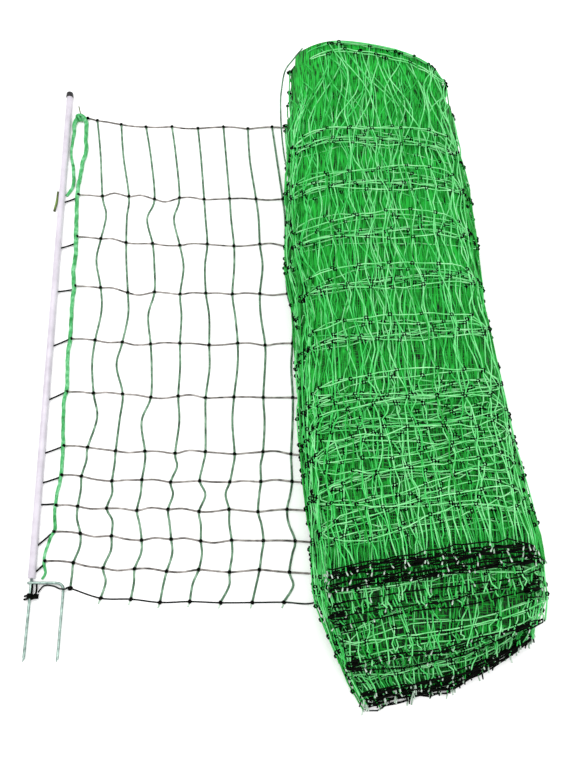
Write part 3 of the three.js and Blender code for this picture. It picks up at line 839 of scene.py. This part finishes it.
def knot_at(row, column):
    """Where a knot of the loose ply lies on the floor, in mm."""
    height, first, last, rise = ROWS[row]
    along = column / (COLUMNS - 1)
    x = lerp(first, last, along) + 2.5 * math.sin(3.1 * row + 5.3 * column)
    y = height + rise * math.exp(-0.85 * column) + 2.5 * math.sin(4.7 * row + 2.9 * column)
    return x, y


def rope_x(y):
    """The rope's middle at a distance up the net, and its radius, in mm."""
    edge = sorted((y, x, radius) for x, y, radius in ROPE_ROUTE[ROPE_EDGE:])
    return read_table(edge, y, 1), read_table(edge, y, 2)


# How far each upright of the loose ply bows to the right between two rows, mm: a row of the table for each
# gap, from the top line down, and a column for each upright, from the rope on.
UPRIGHT_BOWS = [
    (2, -3, 3, 2, 1, 0, -4, 0),
    (10, -2, -15, -13, 0, -1, 2, 3),
    (-10, -1, 2, 8, -4, 2, 6, -1),
    (7, 6, -10, 3, 4, 1, -3, 7),
    (-5, -13, 2, 2, 4, 3, 1, -3),
    (13, 0, -14, 5, 0, -4, 3, 1),
    (3, 1, 2, 8, 0, 1, -3, 0),
    (2, 5, 2, 7, 12, -8, -1, 1),
    (-4, 7, 1, 0, 2, -2, 2, -4),
    (5, 6, 5, 6, 4, 3, 0, -1),
    (0, 7, 2, -1, -4, 7, 0, 12),
]
# How far each row arches up the net between two uprights, mm: a row of the table for each row of knots.
ROW_ARCHES = [
    (1, -1, -1, -2, 1, 2, 1),
    (9, 7, -8, 4, 0, 2, -2),
    (5, -1, -2, 4, 0, -1, 5),
    (5, -6, 1, 3, 2, 3, -3),
    (-3, -4, 3, 2, -1, 3, 2),
    (3, 2, -3, 5, 0, 1, 0),
    (0, -3, 2, 5, 0, 0, 4),
    (-2, 1, 3, 0, -1, 2, 4),
    (-3, 2, 5, 4, -2, 0, 1),
    (-4, -2, 4, 4, -4, 0, 1),
    (-2, -4, 3, -3, 0, 0, 0),
]


def rope_join(row):
    """Where a row meets the rope, and the rope's radius there, in mm."""
    first_x, first_y = knot_at(row, 0)
    join = first_y + 0.2 * ROWS[row][3]
    x, radius = rope_x(join)
    return x, join, radius


# Where the loose ply's top row runs on, under the pack's overhang, to the corner of the lowest ply.
TOP_ROW_END = [(2, 1103, 1.6), (20, 1070, 1.6), (34, 1015, 2), (44, 968, 3)]


def loose_upright(column):
    """An upright's line, from the top line down to the bottom line."""
    points = []
    for row in range(BOTTOM):
        (x, y), (below_x, below_y) = knot_at(row, column), knot_at(row + 1, column)
        bow = UPRIGHT_BOWS[row][column]
        points.append(at(x, y, 1.9))
        points.append(at(lerp(x, below_x, BOW_PLACE) + bow, lerp(y, below_y, BOW_PLACE), 1.7))
    x, y = knot_at(BOTTOM, column)
    points.append(at(x, y + 1.5, 2.0))
    return smooth_line(points, 6)


def loose_row(row):
    """A row's line, from the rope to under the pack."""
    first_x, first_y = knot_at(row, 0)
    x, join, radius = rope_join(row)
    points = [at(x + radius * 0.7, join, radius)]
    points.append(at((x + first_x) / 2, (join + first_y) / 2 + 2, 1.6))
    for column in range(COLUMNS):
        x, y = knot_at(row, column)
        points.append(at(x, y, 2.2))
        if column + 1 < COLUMNS:
            beside_x, beside_y = knot_at(row, column + 1)
            arch = ROW_ARCHES[row][column]
            points.append(at(lerp(x, beside_x, BOW_PLACE), lerp(y, beside_y, BOW_PLACE) + arch, 1.5))
    if row:
        points.append(at(read_table(OUTLINE, y, 1) + 25, y - 4, 1.6))
    else:
        points += [at(*place) for place in TOP_ROW_END]
    return smooth_line(points, 4)


loose_uprights = add_strands(
    "loose_ply_uprights",
    [loose_upright(column) for column in range(COLUMNS)],
    0.5 * LOOSE_STRAND,
    [LOOSE_UPRIGHT],
    ["loose_net"],
)
LOOSE_ROW_LINES = [loose_row(row) for row in range(BOTTOM)]
loose_rows = add_strands(
    "loose_ply_rows", LOOSE_ROW_LINES, 0.5 * LOOSE_ROW_STRAND, [LOOSE_ROW]
)
LOOSE_KNOTS = [
    lump(at(*knot_at(row, column), LOOSE_KNOT[2]), LOOSE_KNOT, chance.uniform(0, 3))
    for row in range(BOTTOM)
    for column in range(COLUMNS)
]
for row in range(BOTTOM):
    x, join, radius = rope_join(row)
    LOOSE_KNOTS.append(lump(at(x + 0.5 * radius, join, radius + 1.5), ROPE_KNOT, 0.3 * row))
loose_knots = add_knots("loose_ply_knots", knot_shape(), LOOSE_KNOTS, KNOT_GREEN)

# One strand of the outer ply stands off from the pack's left side: its route from the rim down.
STAND_OFF_ROUTE = [
    (30, 1174, 196),
    (9, 1158, 178),
    (-9, 1145, 156),
    (-17, 1112, 132),
    (-19, 1084, 120),
    (-17, 1029, 100),
    (-11, 976, 80),
    (0, 922, 70),
]
stand_off = add_strands(
    "outer_ply_strand",
    [route_line(STAND_OFF_ROUTE, 5)],
    0.5 * LOOSE_ROW_STRAND,
    [LOOSE_UPRIGHT],
)

# The bottom line

# Its way from the foot's knot along the spike's bar and over the outer prong.
LINE_START = [
    (-489.2, 19, 6),
    (-479, 31.7, 5),
    (-462, 31.7, 5),
    (-448.5, 26.5, 5),
    (-444.6, 25, 10.7),
    (-434.6, 25, 10.7),
]
LINE_END = [(34, 1.8), (58, 2.5)]  # where it runs in under the pack: x, z
LINE_RADIUS = 1.5
LINE_KNOT, PRONG_KNOT = (5.2, 4.3, 3.2), (6.4, 5.4, 3.2)  # half sizes, mm; the second is by the outer prong


def bottom_line():
    """The line from the foot's knot, through the lowest knots of the loose ply, to the pack."""
    points = [at(*place) for place in LINE_START]
    for column in range(COLUMNS):
        x, y = knot_at(BOTTOM, column)
        points.append(at(x, y, 2.2))
    (dip_x, dip_z), (end_x, end_z) = LINE_END
    points += [at(dip_x, y - 3, dip_z), at(end_x, y + 2, end_z)]
    return smooth_line(points, 8)


def line_tail(column):
    """The short end of an upright that hangs out of its knot on the bottom line."""
    x, y = knot_at(BOTTOM, column)
    return [at(x - 1, y - 2, 2.0), at(x - 2.5, y - 7, 1.8), at(x - 4, y - 11, 1.7)]


line_piece = add_strands(
    "bottom_line_cord",
    [bottom_line()],
    LINE_RADIUS,
    [LINE_BLACK],
    ["bottom_line"],
    sides=8,
)
LINE_KNOTS = [
    lump(at(*knot_at(BOTTOM, column), LINE_KNOT[2]), LINE_KNOT if column else PRONG_KNOT, 0.4 * column)
    for column in range(COLUMNS)
]
line_knots = add_knots("bottom_line_knots", knot_shape(), LINE_KNOTS, LINE_BLACK)
LINE_TAILS = [line_tail(column) for column in range(1, COLUMNS)]
LINE_TAIL_RADIUS = 1.7
line_tails = add_strands("bottom_line_tails", LINE_TAILS, LINE_TAIL_RADIUS, [STUB_PALE])

# The edge rope: three strands laid round each other

ROPE_LAY = 95 * MM
ROPE_STRANDS = 3
ROPE_STEPS = 5  # between two points of its route
TOP_KNOT = (-497, 1131, 9.5)  # the middle of its top knot
# The turns of the top knot: how each is turned on the floor, in radians, and its radius in mm.
TOP_KNOT_TURNS = [(0.5, 8.5), (1.9, 8), (-0.3, 9.5)]
TOP_KNOT_STRAND = 2.6
TURN_STEPS = 16
# How far a strand lies from the rope's middle, and the strand's radius, in rope radii.
STRAND_OFFSET, STRAND_SHARE = 0.43, 0.58


def rope_strand(number, route, radii):
    """One of the strands that are laid round the rope's middle."""
    gone, line = 0.0, []
    for i, place in enumerate(route):
        ahead = route[min(i + 1, len(route) - 1)] - route[max(i - 1, 0)]
        beside = Vector((-ahead.y, ahead.x, 0)).normalized()
        gone += (place - route[i - 1]).length if i else 0
        turn = math.tau * (gone / ROPE_LAY + number / ROPE_STRANDS)
        off = STRAND_OFFSET * radii[i] * MM
        line.append(place + beside * off * math.cos(turn) + Vector((0, 0, off * math.sin(turn))))
    return line


def top_knot_turn(tilt, reach):
    """One turn of the top knot: an upright ring, turned on the floor."""
    x, y, z = TOP_KNOT
    line = []
    for step in range(TURN_STEPS + 1):
        turn = math.tau * step / TURN_STEPS
        wide, thick = reach * math.cos(turn), 3 * math.sin(turn)
        line.append(
            at(
                x + wide * math.cos(tilt) - thick * math.sin(tilt),
                y + wide * math.sin(tilt) + thick * math.cos(tilt),
                z + 0.75 * reach * math.sin(turn),
            )
        )
    return line


def rope_lines():
    """The rope's strands and the turns of its top knot, with their radii in mm."""
    route = route_line([(x, y, 1.04 * radius) for x, y, radius in ROPE_ROUTE], ROPE_STEPS)
    radii = []
    for (_, _, radius), (_, _, after) in zip(ROPE_ROUTE, ROPE_ROUTE[1:]):
        radii += [lerp(radius, after, step / ROPE_STEPS) for step in range(ROPE_STEPS)]
    radii.append(ROPE_ROUTE[-1][2])
    lines = [rope_strand(number, route, radii) for number in range(ROPE_STRANDS)]
    lines += [top_knot_turn(tilt, reach) for tilt, reach in TOP_KNOT_TURNS]
    shares = [[STRAND_SHARE * radius for radius in radii]] * ROPE_STRANDS
    shares += [[TOP_KNOT_STRAND] * (TURN_STEPS + 1)] * len(TOP_KNOT_TURNS)
    return lines, shares


ROPE_LINES, ROPE_SHARES = rope_lines()
rope = add_strands(
    "edge_rope_strands",
    ROPE_LINES,
    1,
    [ROPE_GREEN],
    ["edge_rope"],
    sides=8,
    shares=ROPE_SHARES,
)

# The ties from the post to the rope

TIE_RADIUS = 1.9


def post_x(y):
    """The post's middle at a distance up the net, in mm."""
    return lerp(POST_FOOT[0], POST_TOP[0], (y - POST_FOOT[1]) / (POST_TOP[1] - POST_FOOT[1]))


def tie_line(post_y, rope_y):
    """A tie's line: from the post's side, with a slight sag, to the rope."""
    x, radius = rope_x(rope_y)
    start = at(post_x(post_y) + POST_RADIUS - 1.5, post_y, POST_RADIUS - 1)
    end = at(x - radius * 0.6, rope_y, 5)
    return smooth_line([start, (start + end) / 2 - Vector((0, 0, 0.8 * MM)), end], 4)


add_strands(
    "post_ties",
    [tie_line(post_y, rope_y) for _, post_y, rope_y in TIES],
    TIE_RADIUS,
    [LINE_BLACK],
    [f"tie_row_{row:02d}" for row, _, _ in TIES],
    sides=8,
)

# The post, its cap and its spike


def rod_matrix(start, end):
    """Stands a shape made along +Z from the origin between two places."""
    return Matrix.Translation(start) @ (end - start).to_track_quat("Z", "Y").to_matrix().to_4x4()


def turned(name, profile, start, end, sides):
    """Spins a profile of (radius, distance) pairs in mm about the line from start towards end."""
    shape = bmesh.new()
    corners = [shape.verts.new((radius * MM, 0, along * MM)) for radius, along in profile]
    edges = [shape.edges.new(pair) for pair in zip(corners, corners[1:])]
    bmesh.ops.spin(
        shape,
        geom=corners + edges,
        axis=(0, 0, 1),
        cent=(0, 0, 0),
        steps=sides,
        angle=math.tau,
        use_merge=True,
    )
    bmesh.ops.remove_doubles(shape, verts=shape.verts, dist=1e-6)
    bmesh.ops.recalc_face_normals(shape, faces=shape.faces)
    bmesh.ops.transform(shape, matrix=rod_matrix(start, end), verts=shape.verts)
    mesh = bpy.data.meshes.new(name)
    shape.to_mesh(mesh)
    shape.free()
    return mesh


POST_SIDES = 32
FOOT, TOP = at(*POST_FOOT, POST_RADIUS), at(*POST_TOP, POST_RADIUS)
POST_LENGTH = (TOP - FOOT).length / MM
POST_PROFILE = [
    (0, 0),
    (POST_RADIUS - 0.8, 0),
    (POST_RADIUS, 0.8),
    (POST_RADIUS, POST_LENGTH - 0.5),
    (POST_RADIUS - 0.5, POST_LENGTH),
    (0, POST_LENGTH),
]
CAP_PROFILE = [(0, 0), (8.4, 0), (8.6, 1), (8.4, 9), (7.8, 11.2), (6.4, 12.6), (4, 13), (0, 13)]
CAP_FOOT = TOP + Vector((0, 0.4, 1.1)) * MM
add_piece(
    "post_tube",
    turned("post_tube", POST_PROFILE, FOOT, TOP, POST_SIDES),
    ["post_shaft"],
    POST_WHITE,
)
add_piece(
    "post_cap_moulding",
    turned("post_cap_moulding", CAP_PROFILE, CAP_FOOT, CAP_FOOT + (TOP - FOOT), POST_SIDES),
    ["post_cap"],
    CAP_BLACK,
)

# The spike's two rods: the inner prong, and the bar with the outer prong.
PIN_ROUTE = [(-504, 45), (-504, -40), (-504, -98), (-504.6, -106), (-505.6, -112)]
BAR_ROUTE = [
    (-511, 37),
    (-480, 37),
    (-456, 37),
    (-446, 34.5),
    (-441, 28),
    (-440, 18),
    (-440, -40),
    (-440, -98),
    (-440.8, -106),
    (-442, -112),
]
ROD_POINT = [1, 0.95, 0.85, 0.7, 0.55, 0.4, 0.28, 0.12]  # how a rod thins to its point, step by step


def rod_line(route, steps):
    """A rod's line, level with the post's middle."""
    return smooth_line([at(x, y, POST_RADIUS) for x, y in route], steps)


ROD_LINES = [rod_line(PIN_ROUTE, 4), rod_line(BAR_ROUTE, 5)]
add_strands(
    "spike_rods",
    ROD_LINES,
    ROD_RADIUS,
    [STEEL],
    ["double_spike"],
    sides=14,
    shares=[[1.0] * (len(line) - len(ROD_POINT)) + ROD_POINT for line in ROD_LINES],
)

# The knot at the foot, the rope's ends

PRONG_X = PIN_ROUTE[0][0]
WRAP_LEVELS = (7.5, 11.0, 14.0)  # where the knot's three turns lie along the prong, mm
WRAP_STEPS = 14
KNOT_CORD_RADIUS = 1.9
KNOT_ENDS = [
    [(-507.5, 7, 7), (-513, 6, 5), (-516, 5.5, 4)],
    [(-507.5, 13, 7), (-513, 12.5, 5), (-516, 11.5, 4)],
    [(-499, 12, 8), (-493, 16, 8), (-492, 24, 8), (-492.5, 34, 8.5)],
    [(-501, 14, 9), (-500, 24, 9.5), (-501, 34, 9)],
]
CROSSINGS = (-2.5, 0.5, 3.5)  # how far along the prong its crossings lie from the middle one's place, mm


def foot_knot_lines():
    """The knot's turns round the prong, its loose ends, and its crossings on the net's side."""
    ring = ROD_RADIUS + KNOT_CORD_RADIUS - 0.1  # a little pressed against the prong
    turns = [math.tau * step / WRAP_STEPS for step in range(WRAP_STEPS + 1)]
    routes = []
    for level in WRAP_LEVELS:
        routes.append(
            [
                (PRONG_X + ring * math.cos(t), level + 0.8 * math.sin(t), POST_RADIUS + ring * math.sin(t))
                for t in turns
            ]
        )
    routes += KNOT_ENDS
    for shift in CROSSINGS:
        routes.append([(-500, 9 + shift, 6), (-494, 10 + shift, 11), (-488, 11 + shift, 6)])
    return [route_line(route, 3) for route in routes]


add_strands(
    "foot_knot_cord",
    foot_knot_lines(),
    KNOT_CORD_RADIUS,
    [LINE_BLACK],
    ["foot_knot"],
    sides=8,
)
TAIL_RADIUS, TWINE_RADIUS = 2.8, 1.2
TAIL_ROUTE = [(-532.2, 928, 5.8), (-532.6, 914, 3.6), (-534, 900, 3.0), (-537, 878, 2.8)]
TWINE_ROUTE = [(-496.5, 1141.2, 7.5), (-500, 1152, 4), (-505, 1170, 1.2)]
add_strands(
    "rope_end",
    [route_line(TAIL_ROUTE, 5)],
    TAIL_RADIUS,
    [TAIL_BROWN],
    ["rope_tail"],
    sides=8,
)
add_strands(
    "top_twine_end",
    [route_line(TWINE_ROUTE, 5)],
    TWINE_RADIUS,
    [TAIL_BROWN],
    ["top_twine"],
)

# Floor and light: a bright even studio, with a soft key light over the far left and a weaker one near right

FLOOR_SIZE = 6


def add_floor():
    mesh = bpy.data.meshes.new("floor")
    shape = bmesh.new()
    bmesh.ops.create_grid(shape, x_segments=1, y_segments=1, size=FLOOR_SIZE)
    shape.to_mesh(mesh)
    shape.free()
    floor = bpy.data.objects.new("floor", mesh)
    bpy.context.scene.collection.objects.link(floor)
    mesh.materials.append(floor_paint())


def add_area_light(name, place, size, watts):
    """A square soft light that faces the object."""
    data = bpy.data.lights.new(name, "AREA")
    data.shape = "SQUARE"
    data.size = size
    data.energy = watts
    light = bpy.data.objects.new(name, data)
    light.location = place
    light.rotation_euler = (-Vector(place)).to_track_quat("-Z", "Y").to_euler()
    bpy.context.scene.collection.objects.link(light)


def add_world(strength):
    world = bpy.data.worlds.new("studio")
    world.use_nodes = True
    world.node_tree.nodes["Background"].inputs["Color"].default_value = (1, 1, 1, 1)
    world.node_tree.nodes["Background"].inputs["Strength"].default_value = strength
    bpy.context.scene.world = world


add_floor()
add_world(1.05)
add_area_light("key_light", (-0.7, 0.3, 3.2), 2.4, 60)
add_area_light("fill_light", (2.0, -1.4, 2.6), 2.0, 30)
bpy.context.scene.view_settings.view_transform = "Standard"
